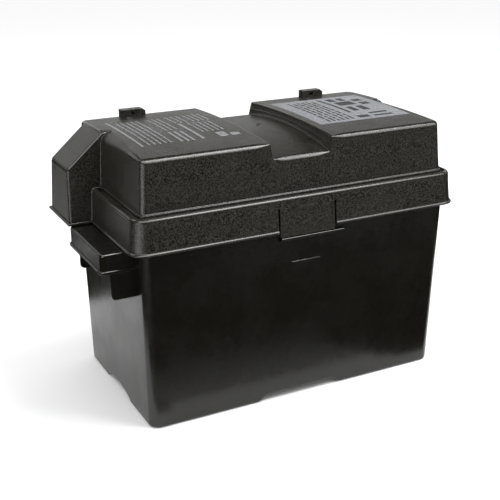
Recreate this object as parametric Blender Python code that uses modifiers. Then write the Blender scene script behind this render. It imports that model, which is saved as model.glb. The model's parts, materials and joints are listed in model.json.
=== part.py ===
"""A snap-top battery box with its lid on, holding one Group 31 flooded deep cycle battery.

Metres, +Z up. The origin is on the floor under the middle of the tub. X runs along the box,
and -Y is its front. The cable hoods stand on both ends of the lid, towards the back. The tub's
carrying handles are diagonally opposite: the left one is towards the front and the right one
towards the back.
"""

import math

import bmesh
import bpy

# Tub
TUB_FOOT = (0.1746, 0.0964)  # half length and half width at the floor
TUB_DRAFT = 0.02066  # outward lean of each wall, per unit of height
TUB_TOP = 0.2255
TUB_FLOOR = 0.0115
TUB_RADIUS = 0.0135
WALL = 0.003
GAP = 0.0003  # between pieces that touch
BITE = 0.0002  # how far a joined shape stays inside its neighbour's faces

# Lid
SKIRT_BOTTOM = 0.1936
SKIRT_TOP = 0.2288
SKIRT_LOW = (0.1900, 0.1070)
SKIRT_HIGH = (0.1871, 0.1041)
SKIRT_RADIUS = 0.017
BODY_LOW = (0.1760, 0.0930)
BODY_HIGH = (0.1725, 0.0894)
BODY_TOP = 0.2834
BODY_RADIUS = 0.0067
EDGE_RADIUS = 0.0022
PAD_CROWN = (0.0032, 0.0009)  # rise at the middle, and tilt from front to back
CHANNEL_HALF = (0.0325, 0.0355)  # strap channel at its floor and at the top
CHANNEL_FLOOR = 0.2683
CHANNEL_CROWN = (0.0085, 0.0013)

# Cable hoods on the lid's ends
HOOD_Y = 0.04845
HOOD_HALF = (0.03325, 0.0280)  # half width at the bottom, and from the shoulder up
HOOD_OUT = (0.2133, 0.2109)  # reach at the bottom and at the shoulder
HOOD_SHOULDER = 0.2510
HOOD_TOP = (0.1725, 0.2850)  # X and Z where the slope meets the lid's top
HOOD_LIP = (0.0019, 0.0032)  # how far the bottom lip stands out, and its height

# Loops on the lid's back edge
LOOP_X = (0.0998, 0.1283)
LOOP_Y = (0.0800, 0.0893)
LOOP_TOP = 0.2928
LOOP_HOLE = (0.0130, 0.0050)

# Snap tabs and catches
TAB_HALF = 0.0320
TAB_SLOT = 0.0015
TAB_CLEAR = 0.0004  # above the tab's hinge line
TAB_Z = (0.1884, 0.2170)
TAB_BARB = 0.1026  # Y of the barb's tip
CATCH_HALF = 0.0260
CATCH_OUT = 0.1022
CATCH_Z = (0.1970, 0.2035)
LEDGE_X = (-0.0310, 0.0440)
LEDGE_Z = (0.1845, 0.1872)
LEDGE_OUT = 0.1066

# Carrying handles on the tub's ends
HANDLE_Y = (-0.0789, 0.0200)  # of the left one; the right one is turned half round
HANDLE_OUT = 0.2128
HANDLE_Z = (0.1715, 0.1925)
HANDLE_BEAD = (0.0019, 0.0036)
GUSSET_OUT = 0.2039
GUSSET_LOW = 0.1435
GUSSET_RADIUS = 0.0045

# Gaps under the tub
FOOT_GAP = (0.0520, 0.0400, 0.0063)  # half width at the floor, at the top, and height
END_ARCH = (-0.0330, 0.0400, 0.0078)  # from, to, and height

# Battery
BATTERY = (0.1650, 0.0865)
CASE_Z = (0.0118, 0.2050)
COVER_Z = (0.2053, 0.2320)
CASE_WALL = 0.0035
CASE_BASE = 0.0040
CELLS = 6
PARTITION = 0.0025
CELL_PITCH = (2 * (BATTERY[0] - CASE_WALL) + PARTITION) / CELLS
CELL_HALF = ((CELL_PITCH - PARTITION) / 2, BATTERY[1] - CASE_WALL)
PLATE_Y = 0.079
PLATE_Z = (0.0175, 0.1650)
POSITIVE_PLATES = 6
POSITIVE_THICK = 0.0028
NEGATIVE_THICK = 0.0020
SHEET_THICK = 0.0010
SHEET_TOP = 0.1685
STRAP_Y = 0.045
STRAP_HALF = (0.0249, 0.0080)
STRAP_Z = (0.1720, 0.1800)
LUG_HALF = 0.0055
WELD_RADIUS = 0.0038
POST_RADIUS = 0.0090
POST_TOP = 0.2370
STUD_RADIUS = 0.00476
STUD_TOP = 0.2520
WASHER = (0.0095, 0.0020)  # radius and thickness
CAP_Y = -0.012
CAP_HALF = (0.0690, 0.0210)
CAP_Z = (0.2323, 0.2395)
PLUG_RADIUS = 0.0100
PLUG_LOW = 0.2170
WELL_LOW = 0.2140

for old in list(bpy.data.objects):
    bpy.data.objects.remove(old)

parts = bpy.data.collections.new("battery_box")
cutters = bpy.data.collections.new("cutters")
cutters.hide_render = True
for collection in (parts, cutters):
    bpy.context.scene.collection.children.link(collection)


def make_material(name, color, roughness, metallic=0.0):
    material = bpy.data.materials.new(name)
    material.use_nodes = True
    shader = material.node_tree.nodes["Principled BSDF"]
    shader.inputs["Base Color"].default_value = (*color, 1)
    shader.inputs["Roughness"].default_value = roughness
    shader.inputs["Metallic"].default_value = metallic
    return material


LID_PLASTIC = make_material("lid_plastic", (0.028, 0.027, 0.027), 0.45)
TUB_PLASTIC = make_material("tub_plastic", (0.022, 0.021, 0.021), 0.38)
CASE_PLASTIC = make_material("case_plastic", (0.05, 0.05, 0.055), 0.40)
COVER_PLASTIC = make_material("cover_plastic", (0.10, 0.10, 0.11), 0.42)
CAP_PLASTIC = make_material("cap_plastic", (0.35, 0.03, 0.03), 0.40)
LEAD = make_material("lead", (0.23, 0.24, 0.26), 0.55, 1.0)
POSITIVE_PASTE = make_material("positive_paste", (0.13, 0.055, 0.035), 0.85)
NEGATIVE_PASTE = make_material("negative_paste", (0.20, 0.21, 0.22), 0.80)
SEPARATOR = make_material("separator_sheet", (0.75, 0.75, 0.70), 0.80)
STEEL = make_material("steel", (0.60, 0.60, 0.62), 0.30, 1.0)


# Building blocks


def finish(bm, name, material=None):
    """The object made from bm, facing out: a part if it has a material, else a cutter."""
    bmesh.ops.recalc_face_normals(bm, faces=bm.faces)
    mesh = bpy.data.meshes.new(name)
    bm.to_mesh(mesh)
    bm.free()
    obj = bpy.data.objects.new(name, mesh)
    if material:
        mesh.materials.append(material)
        parts.objects.link(obj)
    else:
        obj.hide_render = True
        obj.display_type = "WIRE"
        cutters.objects.link(obj)
    return obj


def tapered(
    name, low, high, bottom, top, radius=0.0, material=None, centre=(0, 0), crown=None, edge=0.0
):
    """A box whose half sizes go from low to high, with rounded upright corners.

    crown is (rise, tilt) of the top along Y, and edge rounds the top's rim.
    """
    bm = bmesh.new()
    bmesh.ops.create_cube(bm, size=2)
    for vert in bm.verts:
        half = high if vert.co.z > 0 else low
        vert.co.z = top if vert.co.z > 0 else bottom
        vert.co.x *= half[0]
        vert.co.y *= half[1]
    if radius:
        upright = [e for e in bm.edges if abs(e.verts[0].co.z - e.verts[1].co.z) > 1e-6]
        bmesh.ops.bevel(bm, geom=upright, offset=radius, segments=4, affect="EDGES", profile=0.5)
    if edge:
        rim = [e for e in bm.edges if min(v.co.z for v in e.verts) > top - 1e-6]
        bmesh.ops.bevel(bm, geom=rim, offset=edge, segments=2, affect="EDGES", profile=0.5)
    if crown:
        raise_crown(bm, high[1], (bottom + top) / 2, crown)
    for vert in bm.verts:
        vert.co.x += centre[0]
        vert.co.y += centre[1]
    return finish(bm, name, material)


def split(bm, axis, value):
    """Cuts every face along the plane where one coordinate has this value."""
    normal = [0, 0, 0]
    normal[axis] = 1
    geom = bm.verts[:] + bm.edges[:] + bm.faces[:]
    place = [value * step for step in normal]
    bmesh.ops.bisect_plane(bm, geom=geom, dist=1e-7, plane_co=place, plane_no=normal)


def crown_at(y, half, crown):
    share = max(-1, min(1, y / half))
    return crown[0] * (1 - share**2) + crown[1] * share


def raise_crown(bm, half, above, crown, steps=8):
    """Cuts the mesh across Y and lifts what is above a height into a low arch."""
    for i in range(1, steps):
        split(bm, 1, half * (2 * i / steps - 1))
    for vert in bm.verts:
        if vert.co.z > above:
            vert.co.z += crown_at(vert.co.y, half, crown)
    bmesh.ops.triangulate(bm, faces=bm.faces)


def box(name, low, high, material=None):
    half = [(b - a) / 2 for a, b in zip(low, high)]
    middle = [(b + a) / 2 for a, b in zip(low, high)]
    return tapered(name, half, half, low[2], high[2], material=material, centre=middle)


def prism(name, outline, axis, start, end, material=None):
    """A flat outline extruded along an axis. Its points are in the other two axes' order."""
    others = [i for i in range(3) if i != axis]
    bm = bmesh.new()
    corners = []
    for a, b in outline:
        point = [0.0, 0.0, 0.0]
        point[others[0]], point[others[1]], point[axis] = a, b, start
        corners.append(bm.verts.new(point))
    made = bmesh.ops.extrude_face_region(bm, geom=[bm.faces.new(corners)])
    for vert in made["geom"]:
        if isinstance(vert, bmesh.types.BMVert):
            vert.co[axis] = end
    return finish(bm, name, material)


def rod(name, radius, bottom, top, centre=(0, 0), sides=24, material=None):
    bm = bmesh.new()
    depth = top - bottom
    bmesh.ops.create_cone(bm, cap_ends=True, segments=sides, radius1=radius, radius2=radius, depth=depth)
    for vert in bm.verts:
        vert.co.x += centre[0]
        vert.co.y += centre[1]
        vert.co.z += (top + bottom) / 2
    return finish(bm, name, material)


def turned(name, profile, centre, material, steps=24):
    """A profile of (radius, z) points, from its top on the axis down to the bottom, turned about Z."""
    bm = bmesh.new()
    points = [bm.verts.new((radius, 0, z)) for radius, z in profile]
    for a, b in zip(points, points[1:]):
        bm.edges.new((a, b))
    mesh = bpy.data.meshes.new(name)
    bm.to_mesh(mesh)
    bm.free()
    mesh.materials.append(material)
    obj = bpy.data.objects.new(name, mesh)
    parts.objects.link(obj)
    obj.location = (*centre, 0)
    screw = obj.modifiers.new("turn", "SCREW")
    screw.steps = screw.render_steps = steps
    screw.use_merge_vertices = True
    screw.merge_threshold = 1e-5
    return obj


def boolean(obj, others, operation):
    for other in others:
        modifier = obj.modifiers.new(operation.lower(), "BOOLEAN")
        modifier.operation = operation
        modifier.solver = "EXACT"
        modifier.object = other
    return obj


def cut(obj, *others):
    return boolean(obj, others, "DIFFERENCE")


def join(obj, *others):
    return boolean(obj, others, "UNION")


def baked(obj):
    """The object with its modifiers applied, so that copies can share the mesh."""
    graph = bpy.context.evaluated_depsgraph_get()
    mesh = bpy.data.meshes.new_from_object(obj.evaluated_get(graph))
    obj.modifiers.clear()
    obj.data = mesh
    return obj


def drafted(obj, centre, factor, bend):
    """Scales the width in Y about a centre, by a factor of the height that changes rate at bend."""
    bm = bmesh.new()
    bm.from_mesh(obj.data)
    split(bm, 2, bend)
    for vert in bm.verts:
        vert.co.y = centre + (vert.co.y - centre) * factor(vert.co.z)
    bm.to_mesh(obj.data)
    bm.free()
    return obj


def tub_half(z):
    return tuple(half + TUB_DRAFT * z for half in TUB_FOOT)


def skirt_half_y(z):
    share = (z - SKIRT_BOTTOM) / (SKIRT_TOP - SKIRT_BOTTOM)
    return SKIRT_LOW[1] + (SKIRT_HIGH[1] - SKIRT_LOW[1]) * share


def inset(half, by):
    return tuple(value - by for value in half)


# Tub


def rounded_corner(centre, radius, start, turn, steps=4):
    """Points of an arc, with angles in degrees."""
    angles = [math.radians(start + turn * i / steps) for i in range(steps + 1)]
    return [(centre[0] + radius * math.cos(a), centre[1] + radius * math.sin(a)) for a in angles]


def handle(side):
    """One end's handle pieces: the grip, an inverted channel, and its two end gussets."""
    name = "left" if side < 0 else "right"
    root = TUB_FOOT[0]  # inside the end wall at every height
    low, high = HANDLE_Z
    grip = [
        (root, high),
        (HANDLE_OUT, high),
        (HANDLE_OUT, low + HANDLE_BEAD[1]),
        (HANDLE_OUT + HANDLE_BEAD[0], low + HANDLE_BEAD[1] - 0.0008),
        (HANDLE_OUT + HANDLE_BEAD[0], low + 0.0008),
        (HANDLE_OUT, low),
        (HANDLE_OUT - WALL, low),
        (HANDLE_OUT - WALL, high - WALL),
        (root, high - WALL),
    ]
    corner = (GUSSET_OUT - GUSSET_RADIUS, GUSSET_LOW + GUSSET_RADIUS)
    gusset = [
        (root, GUSSET_LOW),
        *rounded_corner(corner, GUSSET_RADIUS, -90, 90),
        (GUSSET_OUT, low + BITE),
        (HANDLE_OUT - BITE, low + BITE),
        (HANDLE_OUT - BITE, high - BITE),
        (root, high - BITE),
    ]
    near, far = sorted(-side * y for y in HANDLE_Y)
    rows = [
        ("grip", grip, near, far),
        ("near_gusset", gusset, near + BITE, near + WALL),
        ("far_gusset", gusset, far - WALL, far - BITE),
    ]
    return [
        prism(f"{name}_{piece}", [(side * x, z) for x, z in outline], 1, start, end)
        for piece, outline, start, end in rows
    ]


def catch_and_ledge(side):
    """The wedge that a snap tab hooks under, and the ledge that guards the tab's lower edge."""
    name = "front" if side < 0 else "back"
    root = 0.098  # inside the front wall at this height
    low, high = CATCH_Z
    wedge = [(root, low), (CATCH_OUT, low), (CATCH_OUT, low + 0.001), (root + 0.0018, high), (root, high)]
    low, high = LEDGE_Z
    ledge = [(root, low - 0.003), (LEDGE_OUT, low), (LEDGE_OUT, high), (root, high)]
    return [
        prism(f"{name}_catch", [(side * y, z) for y, z in wedge], 0, -CATCH_HALF, CATCH_HALF),
        prism(f"{name}_ledge", [(side * y, z) for y, z in ledge], 0, *LEDGE_X),
    ]


def end_rims():
    """Flanges on the end walls' top that guide the lid, ending where the cables pass."""
    reach = SKIRT_HIGH[0] - WALL - 0.0007
    low, high = TUB_TOP - 0.006, TUB_TOP
    near = -(tub_half(high)[1] - TUB_RADIUS)
    far = HOOD_Y - HOOD_HALF[0] - 0.003
    rims = []
    for side in (-1, 1):
        x = sorted((side * 0.170, side * reach))
        rims.append(box(f"rim_{side}", (x[0], near, low), (x[1], far, high)))
    return rims


def make_tub():
    top = tub_half(TUB_TOP)
    tub = tapered("battery_box_tub", TUB_FOOT, top, 0, TUB_TOP, TUB_RADIUS, TUB_PLASTIC)
    for side in (-1, 1):
        join(tub, *handle(side), *catch_and_ledge(side))
    join(tub, *end_rims())
    above = TUB_TOP + 0.005
    low, high = inset(tub_half(TUB_FLOOR), WALL), inset(tub_half(above), WALL)
    cut(tub, tapered("tub_inside", low, high, TUB_FLOOR, above, TUB_RADIUS - WALL))
    wide, narrow, height = FOOT_GAP
    spread = (wide - narrow) / height * 0.001
    gap = [(-wide - spread, -0.001), (wide + spread, -0.001), (narrow, height), (-narrow, height)]
    cut(tub, prism("front_gap", gap, 1, -0.12, 0.12))
    start, end, rise = END_ARCH
    steps = 10
    arch = [(start, -0.001)]
    arch += [
        (start + (end - start) * i / steps, rise * math.sin(math.pi * i / steps) ** 0.6 + 0.0001)
        for i in range(steps + 1)
    ]
    arch += [(end, -0.001)]
    cut(tub, prism("end_gap", arch, 0, -0.2, 0.2))
    return tub


# Lid


def hood_outline(shrink, bottom):
    """The hood's outline in X and Z on the +X end, moved inwards by shrink."""
    lean = (HOOD_OUT[0] - HOOD_OUT[1]) / (HOOD_SHOULDER - SKIRT_BOTTOM)
    out = HOOD_OUT[0] - shrink
    run, drop = HOOD_OUT[1] - HOOD_TOP[0], HOOD_TOP[1] - HOOD_SHOULDER
    slope = drop / run
    shift = shrink * math.hypot(run, drop) / run  # how far the slope moves down
    foot = out + lean * (SKIRT_BOTTOM - bottom)
    # The shoulder is where the upright face meets the slope.
    x = HOOD_OUT[1] - shrink
    for _ in range(4):
        z = HOOD_SHOULDER - shift + (HOOD_OUT[1] - x) * slope
        x = out - lean * (z - SKIRT_BOTTOM)
    inner_x = 0.150
    top_z = HOOD_TOP[1] - shift
    return [(inner_x, bottom), (foot, bottom), (x, z), (HOOD_TOP[0], top_z), (inner_x, top_z)]


def hood(side, name, shrink, bottom):
    outline = [(side * x, z) for x, z in hood_outline(shrink, bottom)]
    wide = HOOD_HALF[0] - shrink
    narrow = HOOD_HALF[1] - shrink

    def factor(z):
        share = (z - SKIRT_BOTTOM) / (HOOD_SHOULDER - SKIRT_BOTTOM)
        return (wide + (narrow - wide) * min(1, share)) / wide

    solid = prism(name, outline, 1, HOOD_Y - wide, HOOD_Y + wide)
    return drafted(solid, HOOD_Y, factor, HOOD_SHOULDER)


def hood_lip(side):
    out, height = HOOD_LIP
    reach = HOOD_OUT[0] + out
    wide = HOOD_HALF[0] + out
    low = (min(side * 0.160, side * reach), HOOD_Y - wide, SKIRT_BOTTOM)
    high = (max(side * 0.160, side * reach), HOOD_Y + wide, SKIRT_BOTTOM + height)
    return box(f"hood_lip_{side}", low, high)


def channel(name, grow, top):
    """The strap channel's cutter. Its floor follows the channel's own arch."""
    low, high = CHANNEL_HALF
    half_y = 0.11
    bm = bmesh.new()
    bmesh.ops.create_cube(bm, size=2)
    for vert in bm.verts:
        half = high if vert.co.z > 0 else low
        z = top if vert.co.z > 0 else CHANNEL_FLOOR - grow
        vert.co = (vert.co.x * (half + grow), vert.co.y * half_y, z)
    raise_crown(bm, BODY_HIGH[1], 0, CHANNEL_CROWN, steps=12)
    return finish(bm, name)


def loop(side, index):
    inner, outer = LOOP_X
    x = sorted((side * inner, side * outer))
    block = box(f"loop_{index}", (x[0], LOOP_Y[0], BODY_TOP - 0.002), (x[1], LOOP_Y[1], LOOP_TOP))
    middle = side * (inner + outer) / 2
    half = LOOP_HOLE[0] / 2
    low = LOOP_TOP - 0.0024 - LOOP_HOLE[1]
    hole = box(f"loop_hole_{index}", (middle - half, 0.07, low), (middle + half, 0.10, low + LOOP_HOLE[1]))
    return block, hole


def make_lid():
    low, high = SKIRT_BOTTOM, SKIRT_TOP
    lid = tapered("battery_box_lid", SKIRT_LOW, SKIRT_HIGH, low, high, SKIRT_RADIUS, LID_PLASTIC)
    lean = (BODY_LOW[0] - BODY_HIGH[0]) / (BODY_TOP - SKIRT_TOP)
    sunk = 0.004
    low = inset(BODY_LOW, -lean * sunk)
    body = tapered(
        "lid_body", low, BODY_HIGH, SKIRT_TOP - sunk, BODY_TOP, BODY_RADIUS, crown=PAD_CROWN, edge=EDGE_RADIUS
    )
    join(lid, body)
    for side in (-1, 1):
        join(lid, hood(side, f"hood_{side}", 0, SKIRT_BOTTOM), hood_lip(side))
    cut(lid, channel("channel", 0, 0.30))
    low, high = inset(SKIRT_LOW, WALL), inset(SKIRT_HIGH, WALL)
    cut(lid, tapered("skirt_inside", low, high, SKIRT_BOTTOM - 0.002, SKIRT_TOP - WALL, SKIRT_RADIUS - WALL))
    low, high = inset(BODY_LOW, WALL), inset(BODY_HIGH, WALL)
    inside = tapered(
        "body_inside", low, high, SKIRT_TOP - 0.010, BODY_TOP - WALL, BODY_RADIUS - WALL, crown=PAD_CROWN
    )
    cut(inside, channel("channel_below", WALL, 0.31))
    cut(lid, inside)
    for side in (-1, 1):
        cut(lid, hood(side, f"hood_inside_{side}", WALL, SKIRT_BOTTOM - 0.004))
    for index, side in enumerate((-1, 1)):
        block, hole = loop(side, index)
        join(lid, block)
        cut(lid, hole)
    reach = TAB_HALF + TAB_SLOT
    for side in (-1, 1):
        y = sorted((side * 0.098, side * 0.115))
        low = (-reach, y[0], SKIRT_BOTTOM - 0.002)
        cut(lid, box(f"tab_window_{side}", low, (reach, y[1], TAB_Z[1] + TAB_CLEAR)))
    return lid


def make_tab(side, name):
    """A snap tab: the strip of skirt between two slots, with a barb on its inner face."""
    low, high = TAB_Z
    outer_low, outer_high = skirt_half_y(low), skirt_half_y(high)
    outline = [
        (outer_high, high),
        (outer_low, low),
        (outer_low - WALL, low),
        (TAB_BARB, low + 0.0022),
        (TAB_BARB, 0.1958),
        (skirt_half_y(0.1966) - WALL, 0.1966),
        (outer_high - WALL, high),
    ]
    return prism(name, [(side * y, z) for y, z in outline], 0, -TAB_HALF, TAB_HALF, LID_PLASTIC)


# Battery


def cell_x(index):
    return (index - (CELLS - 1) / 2) * CELL_PITCH


def turn_of(index):
    """Every other cell faces the other way, so that unlike straps meet at each partition."""
    return math.pi * (index % 2)


def make_case():
    low, high = CASE_Z
    case = tapered("battery_case", inset(BATTERY, 0.0015), BATTERY, low, high, 0.004, CASE_PLASTIC)
    for index in range(CELLS):
        x = cell_x(index)
        corner = (x - CELL_HALF[0], -CELL_HALF[1], low + CASE_BASE)
        cut(case, box(f"cell_{index}", corner, (x + CELL_HALF[0], CELL_HALF[1], high + 0.002)))
    middle = sum(STRAP_Z) / 2
    for index in range(CELLS - 1):
        x, y = weld_place(index)
        hole = rod(f"weld_hole_{index}", WELD_RADIUS + GAP, -0.003, 0.003, sides=16)
        hole.rotation_euler.y = math.pi / 2
        hole.location = (x, y, middle)
        cut(case, hole)
    return case


def weld_place(index):
    return (cell_x(index) + cell_x(index + 1)) / 2, STRAP_Y * (-1 if index % 2 == 0 else 1)


def plate_row(thickness, first, count, pitch, strap_side, name, material):
    """Plates that hang from one strap, each with a lug at the strap's side."""
    middle = strap_side * STRAP_Y
    strap = box(
        name,
        (-STRAP_HALF[0], middle - STRAP_HALF[1], STRAP_Z[0]),
        (STRAP_HALF[0], middle + STRAP_HALF[1], STRAP_Z[1]),
        material,
    )
    low, high = PLATE_Z
    bite = STRAP_Z[0] + 0.002
    near, far = middle - LUG_HALF, middle + LUG_HALF
    outline = [(-PLATE_Y, low), (PLATE_Y, low), (PLATE_Y, high), (far, high)]
    outline += [(far, bite), (near, bite), (near, high), (-PLATE_Y, high)]
    for i in range(count):
        start = first + i * pitch
        join(strap, prism(f"{name}_plate_{i}", outline, 0, start, start + thickness))
    return baked(strap)


def make_cells():
    """Six cells in series, each with its two plate groups and the separators between them."""
    layer = SHEET_THICK + 2 * GAP
    pitch = POSITIVE_THICK + NEGATIVE_THICK + 2 * layer
    width = POSITIVE_PLATES * pitch + NEGATIVE_THICK
    start = -width / 2
    negatives = plate_row(
        NEGATIVE_THICK, start, POSITIVE_PLATES + 1, pitch, -1, "cell_1_negative_plates", NEGATIVE_PASTE
    )
    first = start + NEGATIVE_THICK + layer
    positives = plate_row(
        POSITIVE_THICK, first, POSITIVE_PLATES, pitch, 1, "cell_1_positive_plates", POSITIVE_PASTE
    )
    floor = CASE_Z[0] + CASE_BASE + GAP
    mat = floor + SHEET_THICK
    edge = start + width
    outline = [(edge, floor), (edge, mat)]
    for i in reversed(range(POSITIVE_PLATES)):
        for sheet in (start + i * pitch + pitch - GAP, start + i * pitch + NEGATIVE_THICK + layer - GAP):
            back = sheet - SHEET_THICK
            outline += [(sheet, mat), (sheet, SHEET_TOP), (back, SHEET_TOP), (back, mat)]
    outline += [(start, mat), (start, floor)]
    sheets = prism("cell_1_separators", outline, 1, -PLATE_Y - 0.002, PLATE_Y + 0.002, SEPARATOR)
    originals = {"negative_plates": negatives, "positive_plates": positives, "separators": sheets}
    for index in range(CELLS):
        for kind, original in originals.items():
            obj = original
            if index:
                obj = bpy.data.objects.new(f"cell_{index + 1}_{kind}", original.data)
                parts.objects.link(obj)
            obj.location.x = cell_x(index)
            obj.rotation_euler.z = turn_of(index)


def make_welds():
    """Lead joints through the partitions, between unlike straps of neighbouring cells."""
    reach = CELL_PITCH / 2 - STRAP_HALF[0] - GAP
    for index in range(CELLS - 1):
        weld = rod(f"intercell_weld_{index + 1}", WELD_RADIUS, -reach, reach, sides=16, material=LEAD)
        weld.rotation_euler.y = math.pi / 2
        weld.location = (*weld_place(index), sum(STRAP_Z) / 2)


def plug_places(side):
    """X of the three filler wells under one vent cap."""
    return [cell_x(index) for index in range(CELLS) if (cell_x(index) > 0) == (side > 0)]


def make_cover():
    low, high = COVER_Z
    top = inset(BATTERY, 0.0015)
    cover = tapered("battery_cover", BATTERY, top, low, high, 0.004, COVER_PLASTIC, edge=0.0015)
    half = inset(BATTERY, CASE_WALL)
    cut(cover, tapered("cover_inside", half, half, low - 0.002, high - 0.006))
    for side in (-1, 1):
        for index, x in enumerate(plug_places(side)):
            wall, hole = PLUG_RADIUS + 0.003, PLUG_RADIUS + 0.0005
            name = f"well_{side}_{index}"
            join(cover, rod(name, wall, WELL_LOW, high - 0.003, (x, CAP_Y), 20))
            cut(cover, rod(f"{name}_hole", hole, WELL_LOW - 0.01, high + 0.01, (x, CAP_Y), 20))
        place = (side * cell_x(CELLS - 1), STRAP_Y)
        cut(cover, rod(f"post_hole_{side}", POST_RADIUS + 0.0004, 0.20, high + 0.01, place, 24))
    return cover


def make_cap(side, name):
    """A vent cap that closes three cells with three plugs."""
    middle = side * cell_x(4)
    low, high = CAP_Z
    top = inset(CAP_HALF, 0.001)
    cap = tapered(name, CAP_HALF, top, low, high, 0.005, CAP_PLASTIC, (middle, CAP_Y), edge=0.0015)
    for index, x in enumerate(plug_places(side)):
        join(cap, rod(f"{name}_plug_{index}", PLUG_RADIUS, PLUG_LOW, low + 0.002, (x, CAP_Y), 20))
    return cap


def make_terminal(side, name):
    """A lead post from the end cell's strap, with a threaded stud, a washer and a wing nut."""
    place = (side * cell_x(CELLS - 1), STRAP_Y)
    socket = 0.006
    clear = STUD_RADIUS + GAP
    collar = COVER_Z[1] + GAP
    post = [
        (0, POST_TOP - socket),
        (clear, POST_TOP - socket),
        (clear, POST_TOP),
        (0.0120, POST_TOP),
        (0.0125, collar),
        (POST_RADIUS, collar),
        (POST_RADIUS, STRAP_Z[1] + GAP),
        (0, STRAP_Z[1] + GAP),
    ]
    turned(f"{name}_post", post, place, LEAD)
    stud = [
        (0, STUD_TOP),
        (STUD_RADIUS - 0.0008, STUD_TOP),
        (STUD_RADIUS, STUD_TOP - 0.0010),
        (STUD_RADIUS, POST_TOP - socket + GAP),
        (0, POST_TOP - socket + GAP),
    ]
    turned(f"{name}_stud", stud, place, STEEL)
    washer_top = POST_TOP + GAP + WASHER[1]
    disc = [(0, washer_top), (WASHER[0], washer_top), (WASHER[0], POST_TOP + GAP), (0, POST_TOP + GAP)]
    washer = turned(f"{name}_washer", disc, place, STEEL)
    cut(washer, rod(f"{name}_washer_hole", clear, POST_TOP - 0.01, STUD_TOP, place))
    wing_nut(place, f"{name}_wing_nut", washer_top + GAP)


def wing_nut(place, name, low):
    hub_top = low + 0.0075
    nut = rod(name, 0.0078, low, hub_top, material=STEEL)
    for side in (-1, 1):
        wing = [(0.0050, 0.0015), (0.0095, 0.0015), (0.0165, 0.0070), (0.0175, 0.0130)]
        wing += [(0.0130, 0.0135), (0.0075, 0.0068), (0.0050, 0.0068)]
        outline = [(side * x, low + rise) for x, rise in wing]
        join(nut, prism(f"{name}_wing_{side}", outline, 1, -0.0014, 0.0014))
    cut(nut, rod(f"{name}_bore", STUD_RADIUS + GAP, 0.22, 0.27, sides=24))
    baked(nut)
    nut.location = (*place, 0)
    return nut


def smooth_all():
    for obj in parts.objects:
        obj.data.shade_smooth()
        obj.data.set_sharp_from_angle(angle=math.radians(35))


make_tub()
make_lid()
make_tab(-1, "front_snap_tab")
make_tab(1, "back_snap_tab")
make_case()
make_cells()
make_welds()
make_cover()
make_cap(-1, "left_vent_cap")
make_cap(1, "right_vent_cap")
make_terminal(-1, "positive")
make_terminal(1, "negative")
smooth_all()
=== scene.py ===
"""Looks of a snap-top battery box: black polypropylene tub and lid around a deep cycle battery.

Metres, +Z up. X runs along the box and -Y is its front.
"""
import json
import math

import bmesh
import bpy
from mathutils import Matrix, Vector


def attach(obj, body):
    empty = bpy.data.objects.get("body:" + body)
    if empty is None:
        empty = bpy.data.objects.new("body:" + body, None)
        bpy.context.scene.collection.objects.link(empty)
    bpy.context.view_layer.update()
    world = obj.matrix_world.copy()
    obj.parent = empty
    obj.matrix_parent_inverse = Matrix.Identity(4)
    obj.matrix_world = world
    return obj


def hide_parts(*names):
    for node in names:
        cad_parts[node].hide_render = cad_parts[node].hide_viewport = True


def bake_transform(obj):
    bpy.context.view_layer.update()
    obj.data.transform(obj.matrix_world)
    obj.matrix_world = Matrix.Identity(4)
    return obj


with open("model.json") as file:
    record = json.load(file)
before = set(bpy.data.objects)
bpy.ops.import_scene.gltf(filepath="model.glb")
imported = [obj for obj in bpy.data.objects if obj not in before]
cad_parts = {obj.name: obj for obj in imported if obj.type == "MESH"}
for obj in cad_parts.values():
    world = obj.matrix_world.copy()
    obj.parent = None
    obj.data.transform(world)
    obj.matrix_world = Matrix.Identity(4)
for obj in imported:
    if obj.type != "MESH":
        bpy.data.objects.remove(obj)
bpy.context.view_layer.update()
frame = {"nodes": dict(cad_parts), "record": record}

# Tub, as in the CAD
TUB_FOOT = (0.1746, 0.0964)
TUB_DRAFT = 0.02066
TUB_TOP = 0.2255
TUB_FLOOR = 0.0115
TUB_RADIUS = 0.0117
WALL = 0.003

# Lid, as in the CAD
SKIRT_BOTTOM = 0.1929
SKIRT_TOP = 0.2288
SKIRT_HALF = (0.1900, 0.1070)  # at its bottom
SKIRT_LEAN = 0.0029  # how far the skirt leans in over its height
SKIRT_RADIUS = 0.017
BODY_INSET = (0.0140, 0.0176)  # from the skirt's half sizes, at the shelf and at the top
BODY_TOP = 0.2834
BODY_RADIUS = 0.0067
PAD_CROWN = (0.0032, 0.0009)
CROWN_HALF = 0.0894
CHANNEL_FLOOR = 0.2683
CHANNEL_CROWN = (0.0085, 0.0013)
CHANNEL_WALL = (0.0325, 0.0355)  # X of its foot and of its brow
CHANNEL_TIGHT = (0.0315, 0.0375)  # X between which the top's front edge is at its tightest
HOOD_Y = 0.04845
HOOD_HALF = (0.03325, 0.0280)
HOOD_OUT = (0.2133, 0.2109)
HOOD_SHOULDER = 0.2510
HOOD_TOP = (0.1725, 0.2850)
HOOD_LIP = (0.0019, 0.0032)
HOOD_EDGE = 0.0031
LOOP_X = (0.0998, 0.1283)
LOOP_Y = (0.0805, 0.0893)
LOOP_TOP = 0.2928
LOOP_BAR = 0.0026
LOOP_HOLE = (0.0062, 0.0152, 0.0042, 0.0014)  # its ends from the loop's left, its height in front and behind
TAB_HALF = 0.0320
TAB_SLOT = 0.0021
TAB_Z = (0.1884, 0.2174)
TAB_BARB = 0.1026
CATCH_HALF = 0.0260
CATCH_OUT = 0.1022
CATCH_Z = (0.1970, 0.2035)
LEDGE_X = (-0.0310, 0.0440)
LEDGE_Z = (0.1845, 0.1872)
LEDGE_OUT = 0.1066
HANDLE_Y = (-0.0789, 0.0200)  # of the left one; the right one is turned half round
HANDLE_OUT = 0.2128
HANDLE_Z = (0.1715, 0.1925)
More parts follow.
